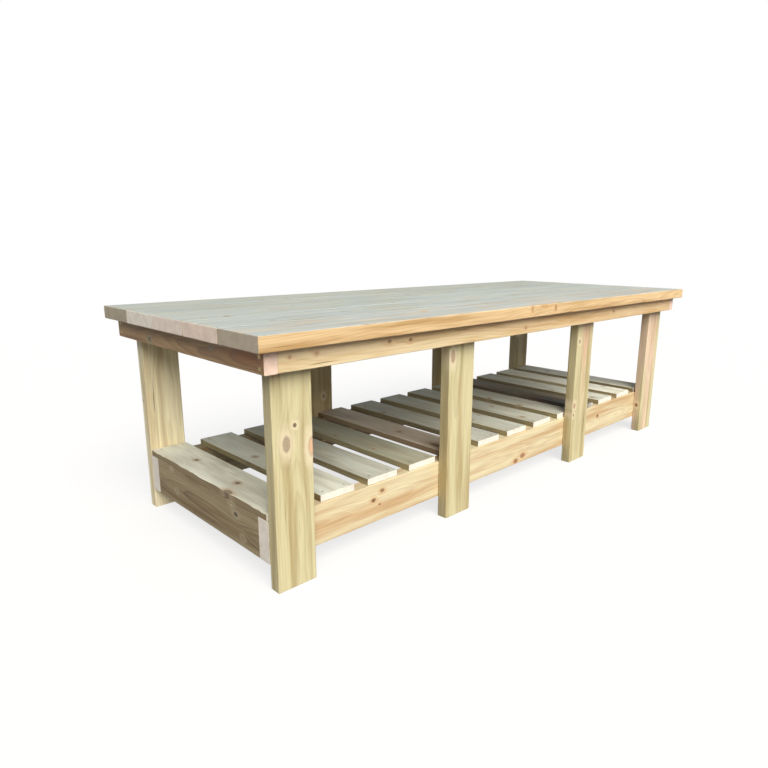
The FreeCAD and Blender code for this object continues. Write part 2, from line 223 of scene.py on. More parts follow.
def buildWoodGroup():
    # rings are distance from the pith line, so faces, edges and sawn ends all show the same log
    tree = bpy.data.node_groups.new("pressureTreatedSoftwood", "ShaderNodeTree")
    addSockets(
        tree,
        {"Vector": "Bent, Point, Pith, Slope",
         "Float": "Core, Rim, Halo, Lengthwise, Upward, Ring Width, Heart Radius, Seed, "
                  "Late Strength, Weathering",
         "Color": "Tint, Sapwood, Heartwood, Latewood, Stain, Sawn End, Weathered, Knot Halo"},
        {"Color": "Color", "Float": "Roughness, Height"})
    given = addNode(tree, "NodeGroupInput").outputs
    seedPlace = addNode(tree, "VectorMath", "SCALE", {
        0: (7.31, 3.17, 5.53), "Scale": given["Seed"]})

    noises = []
    for source, name in (
            ("Bent", "trunk"), ("Point", "ring"), ("Bent", "streak"), ("Point", "fibre"),
            ("Point", "patch"), ("Bent", "check")):
        cells, detail, roughness = woodMake[name + "Cells"]
        noisePlace = addNode(tree, "VectorMath", "MULTIPLY_ADD", [given[source], cells, seedPlace])
        noises.append(addNode(tree, "TexNoise", {}, {
            "Vector": noisePlace, "Scale": 1.0, "Detail": detail, "Roughness": roughness}))
    wander, fine, streak, fibre, patch, check = noises

    # the trunk wanders slowly: about half a metre long, 8 mm aside
    wanderSigned = addNode(tree, "VectorMath", "SUBTRACT", [
        wander.outputs["Color"], (0.5, 0.5, 0.5)])
    wanderMetres = addNode(tree, "VectorMath", "MULTIPLY_ADD", [
        wanderSigned, woodMake["trunkSway"], given["Bent"]])
    lengthOnly = addNode(tree, "SeparateXYZ", {}, [given["Point"]])
    drift = addNode(tree, "VectorMath", "SCALE", {
        0: given["Slope"], "Scale": lengthOnly.outputs["X"]})
    pithHere = addNode(tree, "VectorMath", "ADD", [given["Pith"], drift])
    fromPith = addNode(tree, "VectorMath", "SUBTRACT", [wanderMetres, pithHere])
    flat = addNode(tree, "VectorMath", "MULTIPLY", [fromPith, (0.0, 1.0, 1.0)])
    radius = addNode(tree, "VectorMath", "LENGTH", [flat]).outputs["Value"]

    # growth rings with a soft early side and a crisp late side
    rings = addNode(tree, "Math", "DIVIDE", [radius, given["Ring Width"]])
    ringsRough = addNode(tree, "Math", "MULTIPLY_ADD", [fine, woodMake["ringSway"], rings])
    phase = addNode(tree, "Math", "FRACT", [ringsRough])
    whichRing = addNode(tree, "Math", "FLOOR", [ringsRough])
    rise = addNode(tree, "MapRange", smoothly, {"Value": phase, **woodMake["lateRise"]})
    fall = addNode(tree, "MapRange", smoothly, {"Value": phase, **woodMake["lateFall"]})
    late = addNode(tree, "Math", "MULTIPLY", [rise, fall])
    ringPlace = addNode(tree, "Math", "ADD", [whichRing, given["Seed"]])
    ringLuck = addNode(tree, "TexWhiteNoise", {"noise_dimensions": "1D"}, {"W": ringPlace})
    ringWeight = addNode(tree, "MapRange", {}, {
        "Value": ringLuck.outputs["Value"], **woodMake["ringWeight"]})
    lateHere = addNode(tree, "Math", "MULTIPLY", [late, ringWeight])
    lateMix = addNode(tree, "Math", "MULTIPLY", [lateHere, given["Late Strength"]])

    # masks: wide streaks of resin and treatment, 30 to 40 mm across and over half a metre long;
    # patchy grey where rain and light reach, only on faces that look up, which is partly real
    # weathering and partly painted sky light; the paler sawn ends; and
    # drying checks, hairline splits along the grain, drawn 1 to 2 mm wide so that they show
    streakMask, patchMask, upMask, endMask, checkLine = [
        addNode(tree, "MapRange", settings, {"Value": source, **woodMake[name]})
        for name, settings, source in (
            ("streak", smoothly, streak), ("patch", {}, patch),
            ("skyward", smoothly, given["Upward"]), ("sawnEnd", smoothly, given["Lengthwise"]),
            ("check", smoothly, check))]
    # the grey coat on upward faces is partly real weathering and partly painted sky light
    skylitWeatherHere = addNode(tree, "Math", "MULTIPLY", [patchMask, upMask])
    skylitWeatherMix = addNode(tree, "Math", "MULTIPLY", [skylitWeatherHere, given["Weathering"]])

    # reddish heartwood inside the heart radius, with an edge that follows the streaks
    heartEdge = addNode(tree, "Math", "MULTIPLY_ADD", [streak, woodMake["heartSway"], radius])
    heartGap = addNode(tree, "Math", "SUBTRACT", [heartEdge, given["Heart Radius"]])
    heart = addNode(tree, "MapRange", smoothly, {"Value": heartGap, **woodMake["heartEdge"]})

    # coats over the bare wood, each on top of the last
    colour = given["Sapwood"]
    for settings, share, coat in (
            (colourMix, heart, "Heartwood"), (colourMix, lateMix, "Latewood"),
            (colourMultiply, streakMask, "Stain"), (colourMix, skylitWeatherMix, "Weathered"),
            (colourMix, endMask, "Sawn End")):
        colour = addNode(tree, "Mix", settings, {"Factor": share, "A": colour, "B": given[coat]})

    # boards grey unevenly along their streaks and rings
    uneven = addNode(tree, "MapRange", {}, {"Value": streak, **woodMake["uneven"]})
    lateShade = addNode(tree, "Math", "MULTIPLY_ADD", [lateHere, woodMake["lateShade"], uneven])
    toned = addNode(tree, "VectorMath", "SCALE", {0: colour, "Scale": lateShade})
    checked = addNode(tree, "Mix", colourMultiply, {
        "Factor": checkLine, "A": toned, "B": linearColour(woodMake["checkColour"])})

    # the knots and painted shadow patches, greyed with their board, and the bark around them
    haloMix = addNode(tree, "Math", "MULTIPLY", [given["Halo"], woodMake["haloShare"]])
    haloed = addNode(tree, "Mix", colourMix, {
        "Factor": haloMix, "A": checked, "B": given["Knot Halo"]})
    greyShare = addNode(tree, "Math", "MULTIPLY", [skylitWeatherMix, woodMake["greyShare"]])
    greyKnot = addNode(tree, "Mix", colourMix, {
        "Factor": greyShare, "A": given["Tint"], "B": linearColour(woodMake["greyKnot"])})
    knotted = addNode(tree, "Mix", colourMix, {"Factor": given["Core"], "A": haloed, "B": greyKnot})
    rimMix = addNode(tree, "Math", "MULTIPLY", [given["Rim"], woodMake["barkShare"]])
    rimmed = addNode(tree, "Mix", colourMix, {
        "Factor": rimMix, "A": knotted, "B": linearColour(woodMake["bark"])})
    fibreLight = addNode(tree, "MapRange", {}, {"Value": fibre, **woodMake["fibreShade"]})
    fibred = addNode(tree, "VectorMath", "SCALE", {0: rimmed, "Scale": fibreLight})

    # latewood and knots take more polish from the planer than the soft early wood
    gloss = addNode(tree, "Math", "MAXIMUM", [lateHere, given["Core"]])
    roughness = addNode(tree, "MapRange", {}, {"Value": gloss, **woodMake["roughness"]})
    # height in millimetres: late rings stand 0.1 mm proud, fibre bundles 0.1 mm
    height = addNode(tree, "Math", "MULTIPLY", [fibre, woodMake["fibreHeight"]])
    for source, part in (
            (lateHere, "lateHeight"), (given["Rim"], "barkHeight"), (checkLine, "checkHeight")):
        height = addNode(tree, "Math", "MULTIPLY_ADD", [source, woodMake[part], height])
    addNode(tree, "NodeGroupOutput", {}, {
        "Color": fibred, "Roughness": roughness, "Height": height})
    return tree


knotAndShadowGroup = buildKnotAndShadowGroup()
woodGroup = buildWoodGroup()
spikeDepth = 26  # mm that a knot on a narrow face reaches into the timber
usualStretch = 1.35  # length over width of a knot whose entry doesn't say


def treatedSoftwood(name, centre, axes, half, look):
    # pressure-treated spruce, planed all round: it gives a pale greenish-yellow sapwood, a pinkish
    # heart, brown knots and a low satin sheen
    material = bpy.data.materials.new(name)
    tree = emptyTree(material)
    place = addNode(tree, "TexCoord")
    local = addNode(tree, "Mapping", {"vector_type": "TEXTURE"}, {
        "Vector": place.outputs["Object"], "Location": centre, "Rotation": axes.to_euler()})
    chain = {"Bent": local, "Core": 0.0, "Rim": 0.0, "Halo": 0.0,
             "Tint": linearColour(look["knotColour"])}
    for face, x, aside, radius, darkness, *own in look["knotsAndShadowPatches"]:  # each branch leans a little
        stretch, colour = own or (usualStretch, look["knotColour"])
        if face == "wide":
            spot, branch, depth = Vector((x, aside, 0)), Vector((0.12, 0.05, 1)), 2 * half.y
        else:
            spot, branch = Vector((x, -half.y / millimetre, aside)), Vector((0.12, 1, 0.05))
            depth = spikeDepth * millimetre
        knot = addNode(tree, "Group", {"node_tree": knotAndShadowGroup}, {
            **chain, "Point": local, "Place": spot * millimetre, "Branch": branch.normalized(),
            "Depth": depth, "Radius": radius * millimetre, "Stretch": stretch, "Darkness": darkness,
            "Colour": linearColour(colour)})
        chain = {key: knot.outputs[key] for key in chain}
    facing = addNode(tree, "VectorMath", "DOT_PRODUCT", [place.outputs["Normal"], axes.col[0]])
    lengthwise = addNode(tree, "Math", "ABSOLUTE", [facing.outputs["Value"]])
    upward = addNode(tree, "SeparateXYZ", {}, [place.outputs["Normal"]])
    colours = {"Sapwood": "sapwood", "Heartwood": "heartwood", "Latewood": "latewood",
               "Stain": "stain", "Sawn End": "sawnEnd", "Weathered": "weathered",
               "Knot Halo": "knotHalo"}
    wood = addNode(tree, "Group", {"node_tree": woodGroup}, {
        "Point": local, **chain, "Lengthwise": lengthwise, "Upward": upward.outputs["Z"],
        "Pith": Vector((0, *look["pith"])) * millimetre,
        "Slope": Vector((0, *look["slope"])) * millimetre,
        "Ring Width": look["ringWidth"] * millimetre,
        "Heart Radius": look["heartRadius"] * millimetre, "Seed": look["seed"],
        "Late Strength": look["lateStrength"], "Weathering": look["weathering"],
        **{socket: linearColour(look[key]) for socket, key in colours.items()}})
    bump = addNode(tree, "Bump", {}, {
        "Strength": woodMake["bump"], "Distance": millimetre, "Height": wood.outputs["Height"]})
    shader = addNode(tree, "BsdfPrincipled", {}, {
        "Base Color": wood.outputs["Color"], "Roughness": wood.outputs["Roughness"], "Normal": bump,
        "IOR": woodMake["ior"]})
    addNode(tree, "OutputMaterial", {}, {"Surface": shader})
    return material


planing = {
    "cornerPlace": (0, 3, 7), "seedPlace": (1.9, 4.3, 2.7),  # keep the noises apart
    "easeCells": (11, 0, 0), "dipCells": (3, 14, 14),  # noise cells a metre
    "easeChange": {"From Min": 0.3, "From Max": 0.7, "To Min": -1.0, "To Max": 1.0},
    "flatStrip": 0.0015,  # metres; keeps the shading of the big faces flat
    "firstFacet": 0.4142,  # tan(22.5 degrees) of the radius, so the arris gets even facets
    "waneSide": {"From Min": 0.7, "From Max": 1.0}, "waneTop": {"From Min": -0.2, "From Max": 1.0},
    "waneLength": {"From Min": 0.4, "From Max": 0.62}}


def buildTimberTree():
    # a planed timber: a box of many cells, with unevenly eased arrises and faces that dip a little
    tree = bpy.data.node_groups.new("planedTimber", "GeometryNodeTree")
    addSockets(
        tree,
        {"Vector": "Size, Cells, Ease, Centre, Turn",
         "Float": "Ease Variation, Surface Dip, Wane, Seed", "Material": "Material"},
        {"Geometry": "Timber"})
    given = addNode(tree, "NodeGroupInput").outputs
    cells = addNode(tree, "SeparateXYZ", {}, [given["Cells"]])
    corners = [addNode(tree, "Math", "ADD", {0: cells.outputs[i], 1: 1.0}) for i in range(3)]
    block = addNode(tree, "GeometryNodeMeshCube", {}, {
        "Size": given["Size"], "Vertices X": corners[0], "Vertices Y": corners[1],
        "Vertices Z": corners[2]})
    point = addNode(tree, "GeometryNodeInputPosition")
    half = addNode(tree, "VectorMath", "SCALE", {0: given["Size"], "Scale": 0.5})

    # each of the twelve arrises is eased by its own slowly changing radius
    corner = addNode(tree, "VectorMath", "SIGN", [point])
    cornerSide = addNode(tree, "VectorMath", "MULTIPLY", [corner, planing["cornerPlace"]])
    seedPlace = addNode(tree, "VectorMath", "SCALE", {
        0: planing["seedPlace"], "Scale": given["Seed"]})
    alongPlace = addNode(tree, "VectorMath", "MULTIPLY_ADD", [
        point, planing["easeCells"], seedPlace])
    easePlace = addNode(tree, "VectorMath", "ADD", [alongPlace, cornerSide])
    easeNoise = addNode(tree, "TexNoise", {}, {"Vector": easePlace, "Scale": 1.0, "Detail": 3.0})
    easeChange = addNode(tree, "MapRange", {}, {"Value": easeNoise, **planing["easeChange"]})
    easeFactor = addNode(tree, "Math", "MULTIPLY_ADD", [easeChange, given["Ease Variation"], 1.0])
    ease = addNode(tree, "VectorMath", "SCALE", {0: given["Ease"], "Scale": easeFactor})

    # three cells at each end of each axis are packed into the eased zone
    cellSize = addNode(tree, "VectorMath", "DIVIDE", [given["Size"], given["Cells"]])
    index = addNode(tree, "VectorMath", "DIVIDE", [point, cellSize])
    lastIndex = addNode(tree, "VectorMath", "SCALE", {0: given["Cells"], "Scale": 0.5})
    innerEdge = addNode(tree, "VectorMath", "SUBTRACT", [lastIndex, (3.0, 3.0, 3.0)])
    innerLow = addNode(tree, "VectorMath", "SCALE", {0: innerEdge, "Scale": -1.0})
    notOver = addNode(tree, "VectorMath", "MINIMUM", [index, innerEdge])
    inner = addNode(tree, "VectorMath", "MAXIMUM", [notOver, innerLow])
    beyond = addNode(tree, "VectorMath", "SUBTRACT", [index, inner])
    steps = addNode(tree, "VectorMath", "ABSOLUTE", [beyond])
    direction = addNode(tree, "VectorMath", "SIGN", [beyond])
    guard = (planing["flatStrip"],) * 3
    flatHalf = addNode(tree, "VectorMath", "SUBTRACT", [half, ease])
    innerHalf = addNode(tree, "VectorMath", "SUBTRACT", [flatHalf, guard])
    innerShare = addNode(tree, "VectorMath", "DIVIDE", [inner, innerEdge])
    innerPlace = addNode(tree, "VectorMath", "MULTIPLY", [innerShare, innerHalf])
    firstStep = addNode(tree, "VectorMath", "MINIMUM", [steps, (1.0, 1.0, 1.0)])
    secondMore = addNode(tree, "VectorMath", "SUBTRACT", [steps, (1.0, 1.0, 1.0)])
    secondFloor = addNode(tree, "VectorMath", "MAXIMUM", [secondMore, (0.0, 0.0, 0.0)])
    secondStep = addNode(tree, "VectorMath", "MINIMUM", [secondFloor, (1.0, 1.0, 1.0)])
    thirdMore = addNode(tree, "VectorMath", "SUBTRACT", [steps, (2.0, 2.0, 2.0)])
    thirdStep = addNode(tree, "VectorMath", "MAXIMUM", [thirdMore, (0.0, 0.0, 0.0)])
    secondLength = addNode(tree, "VectorMath", "SCALE", {
        0: secondStep, "Scale": planing["firstFacet"]})
    bothLength = addNode(tree, "VectorMath", "MULTIPLY_ADD", [
        thirdStep, (1 - planing["firstFacet"],) * 3, secondLength])
    easedLength = addNode(tree, "VectorMath", "MULTIPLY", [bothLength, ease])
    outLength = addNode(tree, "VectorMath", "MULTIPLY_ADD", [firstStep, guard, easedLength])
    placed = addNode(tree, "VectorMath", "MULTIPLY_ADD", [outLength, direction, innerPlace])

    # round the arris: keep the distance from the inner block's surface
    flatLow = addNode(tree, "VectorMath", "SCALE", {0: flatHalf, "Scale": -1.0})
    held = addNode(tree, "VectorMath", "MINIMUM", [placed, flatHalf])
    core = addNode(tree, "VectorMath", "MAXIMUM", [held, flatLow])
    outward = addNode(tree, "VectorMath", "SUBTRACT", [placed, core])
    outwardShare = addNode(tree, "VectorMath", "DIVIDE", [outward, ease])
    outwardUnit = addNode(tree, "VectorMath", "NORMALIZE", [outwardShare])
    rounded = addNode(tree, "VectorMath", "MULTIPLY_ADD", [outwardUnit, ease, core])

    # the faces only ever dip inwards, as planed softwood does when it dries
    dipPlace = addNode(tree, "VectorMath", "MULTIPLY_ADD", [point, planing["dipCells"], seedPlace])
    dipNoise = addNode(tree, "TexNoise", {}, {"Vector": dipPlace, "Scale": 1.0, "Detail": 2.0})
    dipDepth = addNode(tree, "Math", "MULTIPLY", [dipNoise, given["Surface Dip"]])
    dipShare = addNode(tree, "VectorMath", "DIVIDE", [rounded, half])
    dipVector = addNode(tree, "VectorMath", "SCALE", {0: dipShare, "Scale": dipDepth})
    dipAcross = addNode(tree, "VectorMath", "MULTIPLY", [dipVector, (0.0, 1.0, 1.0)])
    dipped = addNode(tree, "VectorMath", "SUBTRACT", [rounded, dipAcross])

    # wane: bark edge left on one arris, which drops its upper corner in places
    shares = addNode(tree, "SeparateXYZ", {}, [dipShare])
    waneSide = addNode(tree, "MapRange", smoothly, {
        "Value": shares.outputs["Y"], **planing["waneSide"]})
    waneTop = addNode(tree, "MapRange", {}, {"Value": shares.outputs["Z"], **planing["waneTop"]})
    waneNoise = addNode(tree, "MapRange", smoothly, {"Value": easeNoise, **planing["waneLength"]})
    waneA = addNode(tree, "Math", "MULTIPLY", [waneSide, waneTop])
    waneB = addNode(tree, "Math", "MULTIPLY", [waneA, waneNoise])
    waneDepth = addNode(tree, "Math", "MULTIPLY", [waneB, given["Wane"]])
    waneDrop = addNode(tree, "CombineXYZ", {}, {"Z": waneDepth})
    waned = addNode(tree, "VectorMath", "SUBTRACT", [dipped, waneDrop])

    shaped = addNode(tree, "GeometryNodeSetPosition", {}, {"Geometry": block, "Position": waned})
    turn = addNode(tree, "FunctionNodeEulerToRotation", {}, [given["Turn"]])
    stood = addNode(tree, "GeometryNodeTransform", {}, {
        "Geometry": shaped, "Translation": given["Centre"], "Rotation": turn})
    smooth = addNode(tree, "GeometryNodeSetShadeSmooth", {}, {"Geometry": stood})
    real = addNode(tree, "GeometryNodeRealizeInstances", {}, [smooth])
    finished = addNode(tree, "GeometryNodeSetMaterial", {}, {
        "Geometry": real, "Material": given["Material"]})
    addNode(tree, "NodeGroupOutput", {}, {"Timber": finished})
    return tree


def meshFromTree(name, tree, values):
    # runs a Geometry Nodes tree with these named inputs and returns the plain mesh it makes
    carrier = addObject(name + "_carrier", bpy.data.meshes.new(name + "_carrier"))
    modifier = carrier.modifiers.new("shape", "NODES")
    modifier.node_group = tree
    for item in tree.interface.items_tree:
        if item.item_type == "SOCKET" and item.in_out == "INPUT" and item.name in values:
            modifier[item.identifier] = values[item.name]
    evaluated = carrier.evaluated_get(bpy.context.evaluated_depsgraph_get())
    mesh = bpy.data.meshes.new_from_object(evaluated)
    mesh.name = name
    bpy.data.objects.remove(carrier)
    return mesh


def worldAxes(along, across, through):
    # columns are the timber's own length, width and thickness directions
    units = {"X": (1, 0, 0), "Y": (0, 1, 0), "Z": (0, 0, 1)}
    columns = [Vector(units[word[-1]]) * (-1 if word[0] == "-" else 1)
               for word in (along, across, through)]
    return Matrix(columns).transposed()


timberTree = buildTimberTree()

# axes: where the timber's length, width and thickness point; cell: mesh step on each of them, mm;
# ease: arris radius, mm; pith: the log's middle across and through the timber, mm
# the grey coat on upward faces is partly real weathering and partly painted sky light
commonLook = {
    "slot": "frame_softwood", "cell": (9, 8, 8), "ease": 3.0, "sawnEnd": "#e3cfae",
    "weathered": "#b7b9a4", "weathering": 0.0, "knotColour": "#7a4a2c", "ringWidth": 5.0}
timberFamilies = {
    "worktop": {
        "nodes": [f"top_board_{i}" for i in range(1, 6)], "slot": "worktop_softwood",
        "axes": ("X", "Y", "Z"),
        "sapwood": "#cdc5a4", "heartwood": "#cbb694", "latewood": "#b0905f", "stain": "#e2dccd",
        "sawnEnd": "#f6e4d6", "weathered": "#bcc5c3", "weathering": 0.97, "lateStrength": 0.5,
        "knotColour": "#7e5c42", "knotHalo": "#bfb49a", "pith": (0, -60), "heartRadius": 60},
    # the long aprons get a paler wood: painted light that makes up for the shade cast on them by
    # the top's overhang
    "longApron": {
        "nodes": ["apron_front", "apron_back"], "axes": ("X", "Z", "-Y"), "cell": (9, 7, 7),
        "sapwood": "#efdbb0", "heartwood": "#edd0a2", "latewood": "#d2a26c", "stain": "#f4e2c6",
        "weathering": 0.1, "lateStrength": 0.3, "knotHalo": "#e0b988", "ringWidth": 4.5,
        "pith": (10, -70), "heartRadius": 70},
    "endApron": {
        "nodes": ["apron_left", "apron_right"], "axes": ("Y", "Z", "X"), "cell": (9, 7, 7),
        "sapwood": "#be9c70", "heartwood": "#b07b50", "latewood": "#8a5c36", "stain": "#d6c2a6",
        "sawnEnd": "#ffe0cc", "weathering": 0.1, "lateStrength": 0.65, "knotColour": "#4e4630",
        "knotHalo": "#a09a78", "ringWidth": 4.5, "pith": (-10, 60), "heartRadius": 60},
    "bearer": {
        "nodes": ["bearer_left", "bearer_right"], "axes": ("Y", "Z", "X"), "cell": (12, 8, 8),
        "sapwood": "#cdbb90", "heartwood": "#c99c72", "latewood": "#aa7748", "stain": "#e2d5b6",
        "lateStrength": 0.6, "knotHalo": "#c9a276", "ringWidth": 4.5, "pith": (0, -50),
        "heartRadius": 50},
    "leg": {
        "nodes": [f"leg_{side}_{i}" for side in ("front", "back") for i in range(1, 5)],
        "axes": ("Z", "X", "Y"), "cell": (8, 7, 7), "ease": 3.5,
        "sapwood": "#d9cfa2", "heartwood": "#dbc2a0", "latewood": "#c6a87a", "stain": "#e8dccc",
        "sawnEnd": "#e2d4b4", "lateStrength": 0.24, "knotColour": "#7d5a40", "knotHalo": "#f4e3c2",
        "ringWidth": 6.5, "pith": (10, 62), "heartRadius": 40},
    "longRail": {
        "nodes": ["shelf_rail_front", "shelf_rail_back"], "axes": ("X", "Z", "-Y"),
        "sapwood": "#e6d8b0", "heartwood": "#e4c8a8", "latewood": "#cea67c", "stain": "#f2d8c4",
        "sawnEnd": "#fff6ea", "weathering": 0.35, "lateStrength": 0.28, "knotColour": "#6b3d26",
        "knotHalo": "#dbb27e", "pith": (-20, -45), "heartRadius": 40},
    "endRail": {
        "nodes": ["shelf_rail_left", "shelf_rail_right"], "axes": ("Y", "Z", "X"),
        "cell": (8, 8, 8),
        "sapwood": "#a89772", "heartwood": "#98785a", "latewood": "#70523a", "stain": "#cbbca4",
        "weathering": 0.35, "lateStrength": 0.8, "knotColour": "#4a3b28", "knotHalo": "#b5a886",
        "pith": (15, 50), "heartRadius": 55},
    "slat": {
        "nodes": [f"shelf_slat_{i:02d}" for i in range(1, 14)], "slot": "slat_softwood",
        "axes": ("Y", "-X", "Z"), "cell": (8, 7, 6), "ease": 2.0,
        "sapwood": "#9f946c", "heartwood": "#98805e", "latewood": "#7f6644", "stain": "#ded4c4",
        "sawnEnd": "#fff6ea", "weathered": "#cfd4ca", "weathering": 0.9, "lateStrength": 0.5,
        "knotColour": "#5f4630", "knotHalo": "#b39c7c", "pith": (0, -40), "heartRadius": 40},
}

# what sets single timbers apart. A knot, and each painted shadow patch drawn like one, is (face,
# along, aside, radius, darkness) in mm from the timber's middle, and then, if it differs, its
# stretch along the grain and its colour; "wide" knots run through the timber, and "narrow" ones sit
# on the face at the low side of its width
timberLooks = {
    "leg_front_1": {"pith": (14, 66), "slope": (4, 26), "knotsAndShadowPatches": [
        ("wide", 146, 8, 6.5, 1.0, 1.1, "#5f4a2c"), ("wide", 92, -24, 12.5, 0.8, 2.0, "#98806a"),
        ("wide", 66, 68, 13, 0.5, 2.4, "#d97a3e")]},
    "leg_front_2": {"pith": (-22, 58), "slope": (10, -18), "knotsAndShadowPatches": [
        ("wide", 266, -52, 11, 0.75, 2.2, "#b27d62")]},
    "leg_front_3": {"heartwood": "#dcba98", "pith": (8, 50), "heartRadius": 70, "knotsAndShadowPatches": [
        ("wide", 226, -50, 7, 0.8), ("wide", -92, -57, 9, 0.8, 1.5, "#a8643f"),
        ("wide", -140, -60, 7, 0.8, 1.2, "#93553a")]},
    "leg_front_4": {"heartwood": "#ecd2b6", "pith": (-12, 45), "heartRadius": 80, "knotsAndShadowPatches": [
        ("narrow", -233, 4, 9, 1.0, 1.3, "#93553a"), ("wide", 120, 10, 4, 0.6),
        ("wide", -40, -30, 4, 0.6)]},
    # leg_back_1's paler wood is painted light where light from the left-front reaches it; the
    # darker wood of the other back legs is painted shade under the top
    "leg_back_1": {"sapwood": "#fbf0ca", "heartwood": "#f6e2ba", "latewood": "#dec594", "knotsAndShadowPatches": [
        ("narrow", 60, 6, 6, 0.4)]},
    "leg_back_2": {"sapwood": "#cdbd92", "heartwood": "#c8a07c", "knotsAndShadowPatches": [
        ("wide", -60, 20, 8, 0.7)]},
    "leg_back_3": {"sapwood": "#aa9968", "heartwood": "#a58458"},
    "leg_back_4": {"sapwood": "#b8aa82", "heartwood": "#b2926f"},
    "apron_front": {"knotsAndShadowPatches": [
        ("wide", -1278, 7, 4, 0.55, 1.2, "#94704c"), ("wide", -1184, 7, 5, 0.5, 1.3, "#94704c"),
        ("wide", -892, 12, 6, 0.7), ("wide", -795, 8, 6, 0.8), ("wide", -120, -12, 6, 0.5),
        ("wide", 640, 5, 7, 0.6)]},
    "apron_left": {"knotsAndShadowPatches": [("wide", 234, -15, 8, 0.8), ("wide", -220, 12, 5, 0.5)]},
    "top_board_1": {
        "sapwood": "#e8c896", "heartwood": "#e6bd8a", "latewood": "#c8935c", "sawnEnd": "#c0b39f",
        "knotHalo": "#e0b680", "lateStrength": 0.32, "stain": "#dccbab", "knotsAndShadowPatches": [
            ("narrow", -128, 10, 13, 0.5, 0.6, "#9a6c3a"),
            ("narrow", -40, 17, 7, 0.4, 3.5, "#b5864e"),
            ("narrow", 46, 6, 14, 0.6, 0.55, "#8a5e34"),
            ("wide", -620, 30, 7, 0.3), ("wide", 760, -40, 7, 0.3)]},
    "top_board_2": {"sawnEnd": "#ffe8d6"},
    "top_board_3": {"sawnEnd": "#ffeee0", "weathered": "#b8c2c0"},
    "top_board_4": {"sawnEnd": "#fff4e8", "weathered": "#b2bcbb"},
    "top_board_5": {"sawnEnd": "#b3a68f", "weathered": "#aeb7b5"},
    "shelf_rail_front": {"knotsAndShadowPatches": [
        ("wide", -842, 38, 7, 0.8), ("wide", -884, 12, 7, 1.0), ("wide", -855, -12, 4, 0.8),
        ("wide", -11, -58, 9, 0.9, 1.6, "#8a4c30"), ("wide", 43, -44, 10, 0.9, 1.8, "#9a5c3e"),
        ("wide", 16, -50, 7, 0.5, 1.6, "#e8d6b4"), ("wide", 738, 12, 8, 1.0)]},
    # the back rail's darker wood is painted shade under the top and shelf
    "shelf_rail_back": {"sapwood": "#8f8462", "heartwood": "#86704f", "latewood": "#6b5638"},
    "shelf_rail_left": {"knotsAndShadowPatches": [
        ("wide", 214, -15, 7, 0.8, 1.2, "#8c7a5e"), ("wide", 249, 62, 6, 0.6, 1.6, "#b9aa8a"),
        ("wide", -200, 58, 6, 0.8, 2.2, "#c2b28e"), ("wide", -226, 34, 8, 1.0, 1.5, "#453628"),
        ("wide", -264, -39, 8, 0.8, 1.2, "#8c7a5e")]},
    # slat 1's near-white grey top is painted light, the light that reaches it from the open left
    # end
    "shelf_slat_01": {
        "wane": 4, "sapwood": "#927f5c", "heartwood": "#86694a", "weathered": "#f6f8e8", "knotsAndShadowPatches": [
            ("wide", 182, -2, 7, 0.9), ("wide", -132, 5, 8, 0.9),
            ("wide", -176, 66, 9, 0.8, 2.4, "#5a4632")]},
    "shelf_slat_02": {
        "pith": (0, -2), "heartRadius": 22, "weathered": "#ebf0e2", "knotsAndShadowPatches": [
            ("wide", 60, 25, 7, 0.4)]},
    "shelf_slat_04": {"weathered": "#adb1a0"},
    # slat 5: the dark stretched patch at its front end, next to leg 2, is painted shadow, the
    # contact shade of leg 2; the other entry is a knot
    "shelf_slat_05": {"sapwood": "#96805f", "weathered": "#e0d7c8", "weathering": 0.8, "knotsAndShadowPatches": [
        ("wide", -90, 10, 8, 0.7), ("wide", -330, 30, 14, 0.8, 2.4, "#4c3a2a")]},
    # slat 10: the big near-black patch at its front end, drawn with the knot group and a dark halo,
    # is painted shadow of leg 3 and the gap beside it
    "shelf_slat_10": {
        "sapwood": "#6c5f45", "weathered": "#959082", "knotHalo": "#625d4c", "knotsAndShadowPatches": [
            ("wide", -330, 40, 52, 1.0, 6.0, "#0c0a06")]},
    # slats 11 to 13: the paler grey tops, and slat 12's paler sapwood, are painted light
    "shelf_slat_11": {"weathered": "#e3e7da"},
    "shelf_slat_12": {"sapwood": "#c4b890", "weathered": "#fdfff2"},
    "shelf_slat_13": {"weathered": "#e6e9dc"},
}

# how far chance may move what no entry fixes: mm, or factors on the family's number
chances = {
    "seed": 4100, "seedStep": 17, "noiseStep": 1.37, "pithAcross": (-30, 30),
    "pithThrough": (0.6, 1.3), "slopeAcross": (-12, 12), "slopeThrough": (12, 26),
    "ringWidth": (0.85, 1.2), "heartRadius": (0.6, 1.25), "weathering": (0.9, 1.0),
    "knotRadius": (3.5, 9), "knotDarkness": (0.5, 0.9), "knotSpacing": 250, "endMargin": 40,
    "sideMargin": 10}


